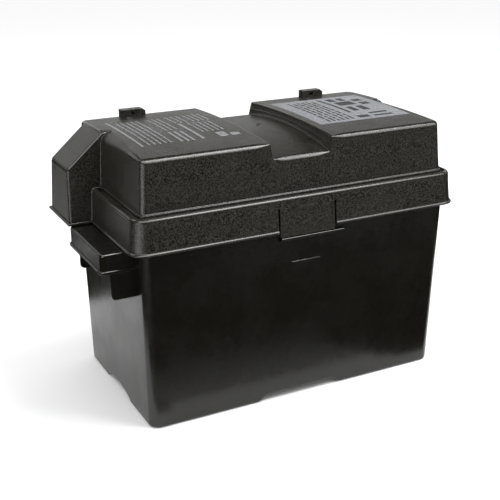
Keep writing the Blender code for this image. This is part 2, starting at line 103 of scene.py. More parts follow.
HANDLE_BEAD = (0.0019, 0.0036)
GUSSET_OUT = 0.2039
GUSSET_LOW = 0.1435
FOOT_GAP = (0.0520, 0.0400, 0.0063)
END_ARCH = (-0.0330, 0.0400, 0.0078)


# Meshes


def new_object(name, bm):
    bmesh.ops.recalc_face_normals(bm, faces=bm.faces)
    mesh = bpy.data.meshes.new(name)
    bm.to_mesh(mesh)
    bm.free()
    obj = bpy.data.objects.new(name, mesh)
    bpy.context.scene.collection.objects.link(obj)
    return obj


def applied(obj):
    """Bakes the object's modifiers into its mesh."""
    graph = bpy.context.evaluated_depsgraph_get()
    mesh = bpy.data.meshes.new_from_object(obj.evaluated_get(graph))
    obj.modifiers.clear()
    obj.data = mesh
    return obj


def boolean(obj, others, operation):
    for other in others:
        modifier = obj.modifiers.new("boolean", "BOOLEAN")
        modifier.operation = operation
        modifier.solver = "EXACT"
        modifier.object = other
        applied(obj)
        bpy.data.objects.remove(other)
    return obj


def join(obj, *others):
    return boolean(obj, others, "UNION")


def cut(obj, *others):
    return boolean(obj, others, "DIFFERENCE")


def bevelled(obj, width, segments, angle=25):
    modifier = obj.modifiers.new("bevel", "BEVEL")
    modifier.width = width
    modifier.segments = segments
    modifier.limit_method = "ANGLE"
    modifier.angle_limit = math.radians(angle)
    modifier.use_clamp_overlap = True
    return applied(obj)


def solid(name, corners, faces):
    bm = bmesh.new()
    verts = [bm.verts.new(point) for point in corners]
    for face in faces:
        bm.faces.new([verts[i] for i in face])
    return new_object(name, bm)


def bridge(bm, low, high):
    for i in range(len(low)):
        bm.faces.new((low[i - 1], low[i], high[i], high[i - 1]))


def skin(bm, sections):
    """Quads from each closed section to the next. Gives the sections' vertices."""
    rings = [[bm.verts.new(point) for point in section] for section in sections]
    for low, high in zip(rings, rings[1:]):
        bridge(bm, low, high)
    return rings


def lofted(name, sections):
    bm = bmesh.new()
    rings = skin(bm, sections)
    bm.faces.new(rings[0])
    bm.faces.new(rings[-1])
    return new_object(name, bm)


def prism(name, outline, axis, start, end):
    """A flat outline extruded along an axis. Its points are in the other two axes' order."""
    sections = [[(*point[:axis], place, *point[axis:]) for point in outline] for place in (start, end)]
    return lofted(name, sections)


def box(name, xs, ys, zs):
    outline = [(xs[0], ys[0]), (xs[1], ys[0]), (xs[1], ys[1]), (xs[0], ys[1])]
    return prism(name, outline, 2, *zs)


def smoothed(obj, angle=32, weighted=True):
    """Smooth shading that breaks at real corners and keeps flat faces flat."""
    obj.data.shade_smooth()
    obj.data.set_sharp_from_angle(angle=math.radians(angle))
    if weighted:
        modifier = obj.modifiers.new("weighted", "WEIGHTED_NORMAL")
        modifier.keep_sharp = True
        modifier.weight = 50
        applied(obj)
    return obj


# Shells made of rings


ARC_STEPS = 12  # per rounded upright corner, half on each of its sides


def lerp(start, end, share):
    return start + (end - start) * share


def smooth_step(low, high, value):
    share = max(0.0, min(1.0, (value - low) / (high - low)))
    return share * share * (3 - 2 * share)


def turned(start, end, steps):
    """Cosine and sine at even angles, in degrees."""
    angles = [math.radians(start + (end - start) * k / steps) for k in range(steps + 1)]
    return [(math.cos(angle), math.sin(angle)) for angle in angles]


def spread(shares, middle, last_shares=None):
    """Entries along a side: shares of its outer stretches, round fixed places in the middle."""
    last_shares = last_shares or [-share for share in reversed(shares)]
    entries = [("free", share) for share in shares] + [("fixed", value) for value in middle]
    return entries + [("free", share) for share in last_shares]


class Perimeter:
    """Matching places round a rounded rectangle of any size.

    columns are the entries along the front from -X to +X: a "free" value is a share of the way
    between the inner columns and the corner, and a "fixed" one is an X. rows are the same for Y
    along the ends. edges says where the inner columns and rows stop.
    """

    def __init__(self, columns, rows, edges):
        self.edges = edges
        half = ARC_STEPS // 2
        turn = [i / half * 45 for i in range(1, half + 1)]
        corners = ((-1, -1), (1, -1), (1, 1), (-1, 1), (-1, -1))
        lines = ((0, -1, columns), (1, 1, rows), (0, 1, columns[::-1]), (1, -1, rows[::-1]))
        sides = []
        for k, (axis, side, entries) in enumerate(lines):
            places = [("arc", *corners[k], (225 + 90 * k) % 360 + a) for a in turn[:-1]]
            places += [("line", axis, side, entry) for entry in entries]
            places += [("arc", *corners[k + 1], (270 + 90 * k) % 360 + a) for a in turn]
            sides.append(places)
        self.wide, self.deep = len(sides[0]), len(sides[1])
        self.items = [sides[3].pop()] + sum(sides, [])

    def place(self, item, half, radius):
        """X, Y and the outward direction of one place on the ring with these half sizes."""
        if item[0] == "arc":
            angle = math.radians(item[3])
            nx, ny = math.cos(angle), math.sin(angle)
            x, y = item[1] * (half[0] - radius), item[2] * (half[1] - radius)
            return x + radius * nx, y + radius * ny, nx, ny
        axis, side, (mode, along) = item[1:]
        if mode == "free":
            inner = self.edges[axis]
            along = math.copysign(inner + abs(along) * (half[axis] - radius - inner), along)
        if axis == 0:
            return along, side * half[1], 0.0, float(side)
        return side * half[0], along, float(side), 0.0


def fill(bm, grid):
    for a, b in zip(grid, grid[1:]):
        for j in range(len(a) - 1):
            bm.faces.new((a[j], b[j], b[j + 1], a[j + 1]))


def patch(bm, ring, perimeter, lift, shift=None):
    """Fills a ring with a grid. lift(column, x, y) gives the height, and shift a column's X."""
    wide, deep = perimeter.wide, perimeter.deep
    front, right = ring[:wide + 1], ring[wide:wide + deep + 1]
    back = ring[wide + deep:2 * wide + deep + 1][::-1]
    left = [ring[0], *ring[:-deep - 1:-1]]
    grid = [left, *([front[i], *[None] * (deep - 1), back[i]] for i in range(1, wide)), right]
    f, b, l, r = ([v.co for v in line] for line in (front, back, left, right))
    for i in range(1, wide):
        u = (f[i].x - f[0].x) / (f[wide].x - f[0].x)
        for j in range(1, deep):
            v = (l[j].y - l[0].y) / (l[deep].y - l[0].y)
            point = f[i] * (1 - v) + b[i] * v + l[j] * (1 - u) + r[j] * u
            point -= (f[0] * (1 - u) + f[wide] * u) * (1 - v) + (b[0] * (1 - u) + b[wide] * u) * v
            x = point.x if shift is None else shift(i, point.x, point.y)
            grid[i][j] = bm.verts.new((x, point.y, lift(i, x, point.y)))
    fill(bm, grid)


# Lid


SKIRT_SUNK = 0.0011  # the skirt's face from its lip
SKIRT_SUNK_INSIDE = 0.0003
LIP = (  # (inset, height) from the skirt's bottom, up to its face
    (0.0024, 0.0013), (0.0021, 0), (0.0010, 0), (0.0003, 0.0001), (-0.0001, 0.0004),
    (-0.0003, 0.0009), (-0.0003, 0.0013), (-0.0001, 0.0018), (0.0002, 0.0023), (0.0006, 0.0027),
    (0.0009, 0.0030), (0.0011, 0.0035),
)
LIP_BULGE = 10  # how many of its places stand out from the face
FACE_START = 0.0052  # height of the skirt's straight face over its bottom
SHELF_EDGE = 0.0034
SHELF_GUTTER = (  # (inset from the skirt's bottom, height over the shelf) from the rim to the body's foot
    (0.0078, 0), (0.0081, -0.0004), (0.0084, -0.0013), (0.0089, -0.0020), (0.0097, -0.0023),
    (0.0112, -0.0023), (0.0118, -0.0019), (0.0120, -0.0010), (0.0121, 0.0002), (0.0122, 0.0009),
    (0.0124, 0.0013), (0.0127, 0.0015),
)
GUTTER_FILLET = 0.0013  # between the gutter and the body
FLAT_FILLET = 0.0022  # the same for a flat shelf, as the hoods' corners have it
FILLET_TURN = 86.4  # degrees from the shelf to the leaning wall
FRONT_EDGE = 0.0048  # rounding of the top's front edge
TIGHT_EDGE = 0.0016  # rounding of its back edge, and of its front edge at the channel's walls
INNER_EDGE = 0.0006  # rounding of the same edges inside
END_EDGE = (0.0030, 0.0125)  # rounding of its end edges, at the front corner and at the hood
END_EDGE_Y = (-0.083, 0.0200)
END_EDGE_STOP = 0.0245  # under the hood
WALL_STEP = 0.0009  # half way up the channel's walls
HOOD_ROOT = 0.1500  # X where the hoods end inside the lid
HOOD_SLOPE = (HOOD_TOP[1] - HOOD_SHOULDER) / (HOOD_OUT[1] - HOOD_TOP[0])
HOOD_FLARE = (HOOD_HALF[0] - HOOD_HALF[1]) / (HOOD_SHOULDER - SKIRT_BOTTOM)
CORNER_FILLET = 0.0014  # largest, beside a hood
SLOT_END = 0.0016  # radius of the round ends of the slots beside a snap tab
THROUGH_SKIRT = (0.098, 0.115)  # Y from inside to outside its front and back


def crown_at(y, crown):
    share = max(-1, min(1, y / CROWN_HALF))
    return crown[0] * (1 - share**2) + crown[1] * share


def pad_height(y):
    return BODY_TOP + crown_at(y, PAD_CROWN)


def floor_height(y):
    return CHANNEL_FLOOR + crown_at(y, CHANNEL_CROWN)


def end_edge(y):
    share = (y - END_EDGE_Y[0]) / (END_EDGE_Y[1] - END_EDGE_Y[0])
    return lerp(*END_EDGE, max(0.0, min(1.0, share)))


def skirt_lean(z):
    return SKIRT_LEAN * (z - SKIRT_BOTTOM) / (SKIRT_TOP - SKIRT_BOTTOM)


def skirt_half_y(z, sunk=SKIRT_SUNK):
    return SKIRT_HALF[1] - skirt_lean(z) - sunk


def channel_corners(foot, brow, tall, radii):
    """The rounded foot and brow of the channel's wall: (place, normal) up each."""
    slope = math.degrees(math.atan2(tall, brow - foot))
    reach = math.tan(math.radians(slope / 2))
    low = Vector((foot - radii[0] * reach, radii[0]))
    high = Vector((brow + radii[1] * reach, tall - radii[1]))
    for centre, radius, first, last in ((low, -radii[0], 0, slope), (high, radii[1], slope, 0)):
        normals = [Vector((-s, c)) for c, s in turned(first, last, 6)]
        yield [(centre + normal * radius, normal) for normal in normals]


class LidShell:
    """The lid's outer surface, or with inner=True the surface of the space inside it."""

    def __init__(self, inner):
        self.inner = inner
        self.thick = WALL if inner else 0.0
        tall = pad_height(-CROWN_HALF) - floor_height(-CROWN_HALF)
        foot, brow = (x + (WALL * 1.03 if inner else 0.0) for x in CHANNEL_WALL)
        low, high = channel_corners(foot, brow, tall, (0.0030, 0.0012) if inner else (0.0012, 0.0018))
        up = Vector((0, 1))
        floor = [(Vector((x, 0)), up) for x in (0, 0.006, 0.012, 0.018, 0.024, 0.029)]
        (start, normal), (end, _) = low[-1], high[0]
        shares = (0.12, 0.25, 0.36, 0.42, 0.46, 0.50, 0.56, 0.70, 0.85)
        wall = [(start.lerp(end, share), normal) for share in shares]
        path = [*floor, *low, *wall, *high, (Vector((0.0450, tall)), up)]
        half = [(p.x, p.y / tall, n) for p, n in path]
        mirror = [(-x, share, Vector((-n.x, n.y))) for x, share, n in reversed(half[1:])]
        self.profile = mirror + half
        pads = [-0.93, -0.84, -0.72, -0.58, -0.44, -0.30, -0.16, -0.05]
        columns = spread(pads, [x for x, _, _ in self.profile])
        rows = spread([-0.75, -0.5, -0.25, -0.05], [-0.060 + 0.004 * i for i in range(31)])
        self.perimeter = Perimeter(columns, rows, (0.0455, 0.0605))
        self.first = ARC_STEPS // 2 + len(pads)  # column of the profile's first place

    def column(self, i):
        """The place on the channel's profile that a column holds, or None."""
        k = i - self.first
        return self.profile[k] if 0 <= k < len(self.profile) else None

    def height(self, i, y):
        found = self.column(i)
        pad, low = pad_height(y), floor_height(y)
        return (pad if found is None else low + (pad - low) * found[1]) - self.thick

    def shift(self, i, x, y):
        """Holds the channel's columns in line, with a small step half way up its walls."""
        found = self.column(i)
        if found is None:
            return x
        x, share, _ = found
        if self.inner or not 0.02 < share < 0.98:
            return x
        fade = smooth_step(0.0835, 0.0780, abs(y))
        fade *= smooth_step(0.02, 0.12, share) * smooth_step(0.98, 0.85, share)
        return x + math.copysign(WALL_STEP * (smooth_step(0.40, 0.48, share) - 0.5) * fade, x)

    def front_column(self, index):
        """The column of a place on the ring. On the ends it lies outside the front's columns."""
        return min(index, 2 * self.perimeter.wide + self.perimeter.deep - index)

    def body_place(self, item, z=BODY_TOP):
        return self.perimeter.place(item, self.half_at(z), BODY_RADIUS)

    def rounding(self, item):
        """Radius of the top's edge at a place."""
        back = INNER_EDGE if self.inner else TIGHT_EDGE
        tight = self.front_edge(item) if item[2] < 0 and not self.inner else back
        if item[0] == "arc":
            corner = max(INNER_EDGE, END_EDGE[0] - self.thick)
            return lerp(tight, corner, smooth_step(0.2, 1.0, abs(math.cos(math.radians(item[3])))))
        if item[1] == 0:
            return tight
        y = self.body_place(item)[1]
        return back if y > END_EDGE_STOP else max(INNER_EDGE, end_edge(y) - self.thick)

    def front_edge(self, item):
        if item[0] == "arc" or item[1] == 1:
            return FRONT_EDGE
        x = abs(self.body_place(item)[0])
        away = max(CHANNEL_TIGHT[0] - x, x - CHANNEL_TIGHT[1])
        return lerp(TIGHT_EDGE, FRONT_EDGE, smooth_step(0.0, 0.012, away))

    def half_at(self, z):
        """Half sizes of the body at a height."""
        share = (z + self.thick - SKIRT_TOP) / (BODY_TOP - SKIRT_TOP)
        by = lerp(*BODY_INSET, share) + self.thick
        return SKIRT_HALF[0] - by, SKIRT_HALF[1] - by

    def radius_at(self, by):
        share = (by - SKIRT_LEAN) / (BODY_INSET[0] - SKIRT_LEAN)
        return lerp(SKIRT_RADIUS, BODY_RADIUS, max(0.0, min(1.0, share)))

    def low_levels(self, gutter=True):
        """(inset, z) from the skirt's bottom to the body's foot."""
        if self.inner:
            bottom, top = SKIRT_BOTTOM - 0.002, SKIRT_TOP - WALL
            insets = [skirt_lean(z) + SKIRT_SUNK_INSIDE for z in (bottom, top)] + [BODY_INSET[0]]
            return [(by + WALL, z) for by, z in zip(insets, (bottom, top, top))]
        levels = [(by, SKIRT_BOTTOM + rise) for by, rise in LIP]
        for k in range(6):
            z = lerp(SKIRT_BOTTOM + FACE_START, SKIRT_TOP - SHELF_EDGE, k / 5)
            levels.append((skirt_lean(z) + SKIRT_SUNK, z))
        edge, r = levels[-1][0], SHELF_EDGE
        levels += [(edge + r * (1 - c), SKIRT_TOP - r * (1 - s)) for c, s in turned(15, 90, 5)]
        base, fillet = SKIRT_TOP, FLAT_FILLET
        if gutter:
            levels += [(by, SKIRT_TOP + rise) for by, rise in SHELF_GUTTER]
            base, fillet = levels.pop()[1], GUTTER_FILLET
        foot = turned(0, FILLET_TURN, 6)
        return levels + [(BODY_INSET[0] - fillet * (1 - s), base + fillet * (1 - c)) for c, s in foot]

    def brow(self, index, item):
        """The rounding of the top's edge at a place, from below."""
        column = self.front_column(index)
        found = self.column(column)
        tilt = Vector((0, 1)) if found is None else found[2]
        r = self.rounding(item)
        line = []
        for c, s in turned(0, 90, 8):
            pull, drop = r * (1 - c), r * (1 - s)
            z = BODY_TOP
            for _ in range(3):  # the wall leans, so that place and height settle together
                x, y, nx, ny = self.body_place(item, z)
                x, y = x - nx * pull, y - ny * pull
                z = self.height(column, y) - tilt.y * drop
            line.append(Vector((x - tilt.x * drop, y, z)))
        return line

    def build(self, name):
        places = self.perimeter.items
        levels = self.low_levels()
        foot = levels[-1][1]
        sections = []
        for by, z in levels:
            half = (SKIRT_HALF[0] - by, SKIRT_HALF[1] - by)
            ring = (self.perimeter.place(item, half, self.radius_at(by)) for item in places)
            sections.append([(x, y, z) for x, y, _, _ in ring])
        brows = [self.brow(index, item) for index, item in enumerate(places)]
        for share in (0.25, 0.5, 0.75):
            section = []
            for item, line in zip(places, brows):
                z = lerp(foot, line[0].z, share)
                x, y, _, _ = self.body_place(item, z)
                section.append((lerp(x, line[0].x, share) if item[:2] == ("line", 0) else x, y, z))
            sections.append(section)
        bm = bmesh.new()
        rings = skin(bm, sections + list(zip(*brows)))
        bm.faces.new(rings[0])
        patch(bm, rings[-1], self.perimeter, lambda i, x, y: self.height(i, y), self.shift)
        return new_object(name, bm)


def hood(name, shrink, bottom, side):
    """A hood's block, moved inwards by shrink, with six corners on each of its sides."""
    lean = (HOOD_OUT[0] - HOOD_OUT[1]) / (HOOD_SHOULDER - SKIRT_BOTTOM)
    x = HOOD_OUT[1] - shrink
    for _ in range(4):
        z = HOOD_SHOULDER - shrink * math.hypot(1, HOOD_SLOPE) + (HOOD_OUT[1] - x) * HOOD_SLOPE
        x = HOOD_OUT[0] - shrink - lean * (z - SKIRT_BOTTOM)
    foot = HOOD_OUT[0] - shrink + lean * (SKIRT_BOTTOM - bottom)
    narrow = HOOD_HALF[1] - shrink
    wide = narrow + HOOD_FLARE * (z - bottom)
    corners = []
    for end in (-1, 1):
        y_low, y_high = HOOD_Y + end * wide, HOOD_Y + end * narrow
        crest = pad_height(y_high) - 0.0001 - (shrink + 0.0004 if shrink else 0)
        crest_x = x - (crest - z) / HOOD_SLOPE
        row = [(HOOD_ROOT, y_low, bottom), (foot, y_low, bottom), (x, y_high, z)]
        row += [(crest_x, y_high, crest), (HOOD_ROOT, y_high, crest), (HOOD_ROOT, y_high, z)]
        corners += [(side * px, py, pz) for px, py, pz in row]
    faces = [(0, 1, 2, 5), (5, 2, 3, 4), (6, 7, 8, 11), (11, 8, 9, 10)]
    faces += [(i, (i + 1) % 6, (i + 1) % 6 + 6, i + 6) for i in range(6)]
    return solid(name, corners, faces)


def hood_lip(side):
    out, height = HOOD_LIP
    xs = (side * 0.160, side * (HOOD_OUT[0] + out))
    wide = HOOD_HALF[0] + out
    zs = (SKIRT_BOTTOM + 0.0001, SKIRT_BOTTOM + height)
    return bevelled(box(f"hood_lip_{side}", xs, (HOOD_Y - wide, HOOD_Y + wide), zs), 0.0011, 4)


def corner_fillet(name, side, end, shell):
    """Fills the inside corner between a hood's side and the lid's end wall, shelf and skirt."""
    bottom = SKIRT_BOTTOM + 0.0021
    levels = [(SKIRT_HALF[0] - by, z) for by, z in shell.low_levels(gutter=False)[LIP_BULGE:]]
    levels.insert(0, (levels[0][0] + 0.0001, bottom))
    levels = [((a[0] + b[0]) / 2, (a[1] + b[1]) / 2) for a, b in zip(levels, levels[1:])]
    levels.insert(0, (levels[0][0], bottom))
    r = END_EDGE[1] if end < 0 else TIGHT_EDGE
    top = pad_height(HOOD_Y + end * HOOD_HALF[1])
    for share in (0.25, 0.5, 0.75, 0.9):
        z = lerp(levels[-1][1], top - r, share)
        levels.append((shell.half_at(z)[0], z))
    for c, s in turned(0, 90, 12)[:-1]:
        z = top - r * (1 - s)
        levels.append((shell.half_at(z)[0] - r * (1 - c), z))
    flat = Vector((0, end, 0))
    bite, sunk = 0.0007, 0.00005  # how far its back and its round face go into the walls
    sections = []
    for i, (x, z) in enumerate(levels):
        a, b = levels[max(0, i - 1)], levels[min(len(levels) - 1, i + 1)]
        step = Vector((b[0] - a[0], b[1] - a[1])).normalized()
        out = Vector((step.y, -step.x))
        # Room under the hood's slope along this normal
        room = (HOOD_SHOULDER + (HOOD_OUT[1] - x) * HOOD_SLOPE - z) / (out.y + out.x * HOOD_SLOPE)
        radius = min(CORNER_FILLET, (room - HOOD_EDGE) * 0.7)
        if radius < 0.0003:
            break
        normal = Vector((side * out.x, 0, out.y))
        side_y = HOOD_Y + end * (HOOD_HALF[1] + HOOD_FLARE * max(0.0, HOOD_SHOULDER - z))
        root = Vector((side * x, side_y, z))
        centre = root + (normal + flat) * (radius - sunk)
        arc = [centre - (normal * c + flat * s) * radius for c, s in turned(0, 90, 8)]
        line = [root - (normal + flat) * bite, centre - normal * (radius + bite), *arc]
        sections.append([*line, centre - flat * (radius + bite)])
    return lofted(name, sections)


def lid_loop(side):
    """An eye for a tie, with a hole on its left and a hollow under its chamfered right end."""
    x0, x1 = sorted(side * x for x in LOOP_X)
    y0, y1 = LOOP_Y[0], LOOP_Y[1] - 0.0004
    low, cant = BODY_TOP - 0.0024, LOOP_TOP - 0.0030
    outline = [(x0, low), (x1, low), (x1, cant), (x1 - 1.4 * (LOOP_TOP - cant), LOOP_TOP), (x0, LOOP_TOP)]
    block = bevelled(prism(f"loop_{side}", outline, 1, y0, y1), 0.0006, 3)
    start, end, *depths = LOOP_HOLE
    front, back, top = y0 - 0.001, y1 + 0.001, LOOP_TOP - LOOP_BAR
    outline = [(front, top - depths[0]), (back, top - depths[1]), (back, top), (front, top)]
    hole = prism(f"loop_hole_{side}", outline, 0, x0 + start, x0 + end)
    xs, ys, zs = (x1 - 0.0048, x1 + 0.002), (y0 + 0.0016, y1 - 0.0016), (cant - 0.0050, cant - 0.0002)
    return cut(block, hole, box(f"loop_pocket_{side}", xs, ys, zs))


def slot_ends(side):
    """The round upper ends of the two slots beside a snap tab, right through the skirt."""
    z = TAB_Z[1] - 0.0002
    for end in (-1, 1):
        x = end * (TAB_HALF + TAB_SLOT / 2)
        outline = [(x + SLOT_END * c, z + SLOT_END * s) for c, s in turned(0, 360, 32)[:-1]]
        yield prism(f"slot_end_{side}_{end}", outline, 1, *(side * y for y in THROUGH_SKIRT))


def make_lid():
    outer = LidShell(False)
    lid = outer.build("lid_shell")
    for side in (-1, 1):
        cap = bevelled(hood(f"hood_{side}", 0, SKIRT_BOTTOM + 0.0005, side), HOOD_EDGE, 6, 20)
        join(lid, join(cap, hood_lip(side)))
        for end in (-1, 1):
            join(lid, corner_fillet(f"fillet_{side}_{end}", side, end, outer))
        join(lid, lid_loop(side))
    inside = LidShell(True).build("lid_inside")
    for side in (-1, 1):
        join(inside, hood(f"hood_inside_{side}", WALL, SKIRT_BOTTOM - 0.004, side))
    cut(lid, inside)
    reach = TAB_HALF + TAB_SLOT
    for side in (-1, 1):
        ys = [side * y for y in THROUGH_SKIRT]
        window = box(f"window_{side}", (-reach, reach), ys, (SKIRT_BOTTOM - 0.002, TAB_Z[1]))
        cut(lid, join(window, *slot_ends(side)))
    return smoothed(lid)


# Tub


FOOT_EDGE = 0.0032
RIM_EDGE = 0.0006
GUSSET_ROUND = 0.0045


def gap_height(x):
    """Height of the gap under the tub's front and back, with its corners eased."""
    wide, narrow, height = FOOT_GAP
    share = max(0.0, min(1.0, (wide - abs(x)) / (wide - narrow)))
    return height * (share - 0.09 * math.sin(2 * math.pi * share))


def arch_height(y):
    start, end, rise = END_ARCH
    share = (y - start) / (end - start)
    return rise * math.sin(math.pi * share) ** 0.6 if 0 < share < 1 else 0.0


def foot_height(x, y):
    return max(gap_height(x), arch_height(y))


def tub_half(z):
    return tuple(half + TUB_DRAFT * z for half in TUB_FOOT)


def tub_outside():
    wide, narrow, _ = FOOT_GAP
    ramp = [lerp(narrow, wide, i / 8) for i in range(9)]
    far = [-0.92, -0.8, -0.65, -0.5, -0.35, -0.2, -0.08]
    middle = [0.008 * i for i in range(-4, 5)]
    columns = spread(far, [-x for x in reversed(ramp)] + middle + ramp)
    start, end, _ = END_ARCH
    eased = [0, 0.004, 0.012, 0.03, 0.06, 0.1, 0.16, 0.24, 0.34, 0.45]
    eased += [1 - share for share in reversed(eased[:-1])]
    arch = [lerp(start, end, share) for share in eased]
    rows = spread([-0.8, -0.55, -0.3, -0.1], arch, [0.1, 0.35, 0.6, 0.8])
    perimeter = Perimeter(columns, rows, (0.054, 0.0415))

    def section(heights, pull=0.0):
        points = []
        for item, z in zip(perimeter.items, heights):
            x, y, nx, ny = perimeter.place(item, tub_half(z), TUB_RADIUS)
            points.append((x - nx * pull, y - ny * pull, z))
        return points

    soles = [foot_height(*perimeter.place(item, tub_half(0), TUB_RADIUS)[:2]) for item in perimeter.items]
    sections = []
    for c, s in reversed(turned(0, 90, 6)):
        sections.append(section([sole + FOOT_EDGE * (1 - s) for sole in soles], FOOT_EDGE * (1 - c)))
    lows = [sole + FOOT_EDGE for sole in soles]
    for share in (0.1, 0.25, 0.45, 0.65, 0.85, 1.0):
        sections.append(section([lerp(low, TUB_TOP - RIM_EDGE, share) for low in lows]))
    sections.append(section([TUB_TOP] * len(soles), RIM_EDGE))
    bm = bmesh.new()
    rings = skin(bm, sections)
    bm.faces.new(rings[-1])
    patch(bm, rings[0], perimeter, lambda i, x, y: foot_height(x, y))
    return new_object("tub_shell", bm)


def handle(side):
    """The grip, an inverted channel with a bead along its lower edge, and its end gussets."""
    near, far = sorted(-side * y for y in HANDLE_Y)
    low, high = HANDLE_Z
    root = TUB_FOOT[0]

    def block(name, x0, x1, gap, zs):
        return box(name, (side * x0, side * x1), (near + gap, far - gap), zs)

    def rounded(name, out, y0, y1, r, zs):
        """A block from the tub's end to out, with its two outer upright corners rounded."""
        arc = turned(0, 90, 10)
        outline = [(root, y0)] + [(out - r + r * s, y0 + r - r * c) for c, s in arc]
        outline += [(out - r + r * c, y1 - r + r * s) for c, s in arc] + [(root, y1)]
        return prism(name, [(side * x, y) for x, y in outline], 2, *zs)

    grip = bevelled(rounded("grip", HANDLE_OUT, near, far, 0.0052, (low - 0.010, high)), 0.0026, 6)
    cut(grip, block("grip_cut", root - 0.01, HANDLE_OUT + 0.01, -0.01, (low - 0.02, low)))
    out, tall = HANDLE_BEAD
    bead = rounded("bead", HANDLE_OUT + out, near - 0.0010, far + 0.0010, 0.0066, (low + 0.0001, low + tall))
    join(grip, bevelled(bead, 0.0013, 5))
    hollow = block("hollow", root - 0.001, HANDLE_OUT - WALL, WALL, (low - 0.01, high - WALL))
    cut(grip, bevelled(hollow, 0.0008, 3))
    r = GUSSET_ROUND
    outline = [(root, GUSSET_LOW)]
    outline += [(GUSSET_OUT - r + r * c, GUSSET_LOW + r + r * s) for c, s in turned(-90, 0, 6)]
    outline += [(GUSSET_OUT, low + 0.0003), (HANDLE_OUT - 0.0045, low + 0.0023)]
    outline += [(HANDLE_OUT - 0.0045, high - 0.0030), (root, high - 0.0030)]
    outline = [(side * x, z) for x, z in outline]
    for name, start, end in (("near", near + 0.0003, near + WALL), ("far", far - WALL, far - 0.0003)):
        join(grip, bevelled(prism(f"{name}_gusset", outline, 1, start, end), 0.0006, 3))
    return grip


def catch_and_ledge(side):
    root = 0.0975
    low, high = CATCH_Z
    wedge = [(root, low), (CATCH_OUT, low), (CATCH_OUT, low + 0.001), (root + 0.0023, high), (root, high)]
    low, high = LEDGE_Z
    ledge = [(root, low - 0.003), (LEDGE_OUT, low), (LEDGE_OUT, high), (root, high)]
    catch = prism(f"catch_{side}", [(side * y, z) for y, z in wedge], 0, -CATCH_HALF, CATCH_HALF)
    guard = prism(f"ledge_{side}", [(side * y, z) for y, z in ledge], 0, *LEDGE_X)
    return bevelled(catch, 0.0003, 2), bevelled(guard, 0.0009, 4)


def end_rim(side):
    reach = SKIRT_HALF[0] - SKIRT_LEAN - WALL - 0.0007
    ys = (TUB_RADIUS - tub_half(TUB_TOP)[1], HOOD_Y - HOOD_HALF[0] - 0.003)
    zs = (TUB_TOP - 0.006, TUB_TOP - 0.0001)
    return bevelled(box(f"rim_{side}", (side * 0.170, side * reach), ys, zs), 0.0006, 3)


def tub_inside():
    sections = []
    for z in (TUB_FLOOR, TUB_TOP + 0.005):
        x, y = (half - WALL for half in tub_half(z))
        sections.append([(-x, -y, z), (x, -y, z), (x, y, z), (-x, y, z)])
    inside = lofted("tub_inside", sections)
    bm = bmesh.new()
    bm.from_mesh(inside.data)
    upright = [e for e in bm.edges if abs(e.verts[0].co.z - e.verts[1].co.z) > 0.1]
    bmesh.ops.bevel(bm, geom=upright, offset=TUB_RADIUS - WALL, segments=8, affect="EDGES", profile=0.5)
    rim = [e for e in bm.edges if max(v.co.z for v in e.verts) < TUB_FLOOR + 1e-5]
    bmesh.ops.bevel(bm, geom=rim, offset=0.0025, segments=4, affect="EDGES", profile=0.5)
    bm.to_mesh(inside.data)
    bm.free()
    return inside


def make_tub():
    tub = tub_outside()
    for side in (-1, 1):
        join(tub, handle(side), *catch_and_ledge(side), end_rim(side))
    return smoothed(cut(tub, tub_inside()))


# Snap tabs


def make_tab(side):
    """A strip of the skirt between two slots, with a barb on its inner face."""
    low, high = TAB_Z
    barb_top, face_start = 0.1958, 0.1966

    def inner(z):
        return skirt_half_y(z, SKIRT_SUNK_INSIDE) - WALL, z

    heights = [lerp(low, high, i / 22) for i in range(23)]
    outline = [inner(low), (TAB_BARB, low + 0.0022), (TAB_BARB, barb_top), inner(face_start)]
    outline += [inner(z) for z in heights if z > face_start + 0.0006]
    outline += [(skirt_half_y(z), z) for z in reversed(heights)]
    name = "snap_tab_front" if side < 0 else "snap_tab_back"
    tab = prism(name, [(side * y, z) for y, z in outline], 0, -TAB_HALF, TAB_HALF)
    return smoothed(cut(tab, *slot_ends(side)))


# Marks on the lid and the tub: plain bars in place of the real ones


def raised_bar(bm, x0, x1, y0, y1, height, edge):
    """A low bar with eased edges that follows the pads' crown."""
    steps = max(1, round((y1 - y0) / 0.006))
    middle = [lerp(y0, y1, i / steps) for i in range(1, steps)]
    grid = []
    for x in (x0, x0 + edge, x1 - edge, x1):
        row = []
        for y in (y0, y0 + edge, *middle, y1 - edge, y1):
            rim = x in (x0, x1) or y in (y0, y1)
            row.append(bm.verts.new((x, y, pad_height(y) + (-0.00005 if rim else height))))
        grid.append(row)
    fill(bm, grid)
    border = [row[0] for row in grid] + grid[-1][1:]
    border += [row[-1] for row in reversed(grid[:-1])] + grid[0][-2:0:-1]
    floor = [bm.verts.new((v.co.x, v.co.y, v.co.z - 0.0004)) for v in border]
    bridge(bm, floor, border)
    bm.faces.new(floor)


def pad_marks(name, bars, height, edge=0.00025):
    bm = bmesh.new()
    for bar in bars:
        raised_bar(bm, *bar, height, edge)
    return smoothed(new_object(name, bm), 40, False)


def even(first, count, pitch=0.0058):
    return [first + pitch * i for i in range(count)]


def broken_rows(xs, y_range, lengths, width=0.0019):
    """Rows of dashes along Y, as a stand-in for lines of print."""
    bars = []
    for row, x in enumerate(xs):
        y, k = y_range[0], row
        while y < y_range[1] - 0.003:
            end = min(y_range[1], y + lengths[k % len(lengths)])
            bars.append((x, x + width, y, end))
            y, k = end + 0.0022, k + 1
    return bars


